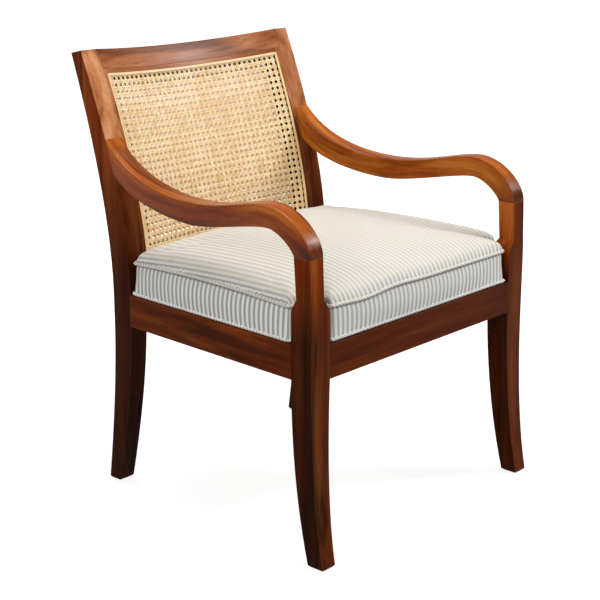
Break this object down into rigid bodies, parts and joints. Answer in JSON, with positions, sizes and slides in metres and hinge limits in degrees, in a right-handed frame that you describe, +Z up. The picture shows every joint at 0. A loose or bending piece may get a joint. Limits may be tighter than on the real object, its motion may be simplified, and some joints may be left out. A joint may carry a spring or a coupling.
{
  "type": "caned armchair",
  "caption": "Reclined armchair with sabre legs, scrolled arms, a bowed double-caned back and a loose boxed seat cushion.",
  "frame": {"origin": "middle of the chair's footprint box, on the floor", "axes": "+Z up, +Y from the seat's front edge towards the back, +X towards the right-hand side seen from the front"},
  "size_m": [0.608, 0.6682, 0.827],
  "materials": {
    "mahogany": "glossy red-brown, dark streaked grain",
    "inner_wood": "plain, unpolished",
    "cane": "natural woven cane, satin",
    "ticking": "ivory cotton with narrow blue-grey stripes",
    "welt": "bias-cut striped cotton over cord",
    "screw_steel": "plain"
  },
  "bodies": {
    "frame": {"front_leg_left": "mahogany", "front_leg_right": "mahogany", "back_post_left": "mahogany", "back_post_right": "mahogany", "arm_left": "mahogany", "arm_right": "mahogany", "crest_rail": "mahogany", "lower_back_rail": "mahogany", "side_rail_left": "mahogany", "side_rail_right": "mahogany", "front_rail": "mahogany", "rear_rail": "mahogany", "panel_strip_left": "mahogany", "panel_strip_right": "mahogany", "panel_strip_top": "mahogany", "panel_strip_bottom": "mahogany", "corner_block_front_left": "inner_wood", "corner_block_front_right": "inner_wood", "corner_block_rear_left": "inner_wood", "corner_block_rear_right": "inner_wood", "arm_dowel_front_left": "inner_wood", "arm_dowel_front_right": "inner_wood", "arm_dowel_rear_left": "inner_wood", "arm_dowel_rear_right": "inner_wood", "corner_screw_front_left": "screw_steel", "corner_screw_front_right": "screw_steel", "corner_screw_rear_left": "screw_steel", "corner_screw_rear_right": "screw_steel", "cane_front": "cane", "cane_rear": "cane", "seat_cane": "cane", "spline_front_left": "cane", "spline_front_right": "cane", "spline_front_top": "cane", "spline_front_bottom": "cane", "spline_rear_left": "cane", "spline_rear_right": "cane", "spline_rear_top": "cane", "spline_rear_bottom": "cane", "seat_spline_left": "cane", "seat_spline_right": "cane", "seat_spline_front": "cane", "seat_spline_rear": "cane"},
    "cushion": {"cushion": "ticking", "welt_top": "welt", "welt_bottom": "welt"}
  },
  "joints": [
    {"name": "cushion_lift", "type": "slide", "parent": "frame", "child": "cushion", "axis": [0, 0, 1], "range_m": [0, 0.06]}
  ]
}
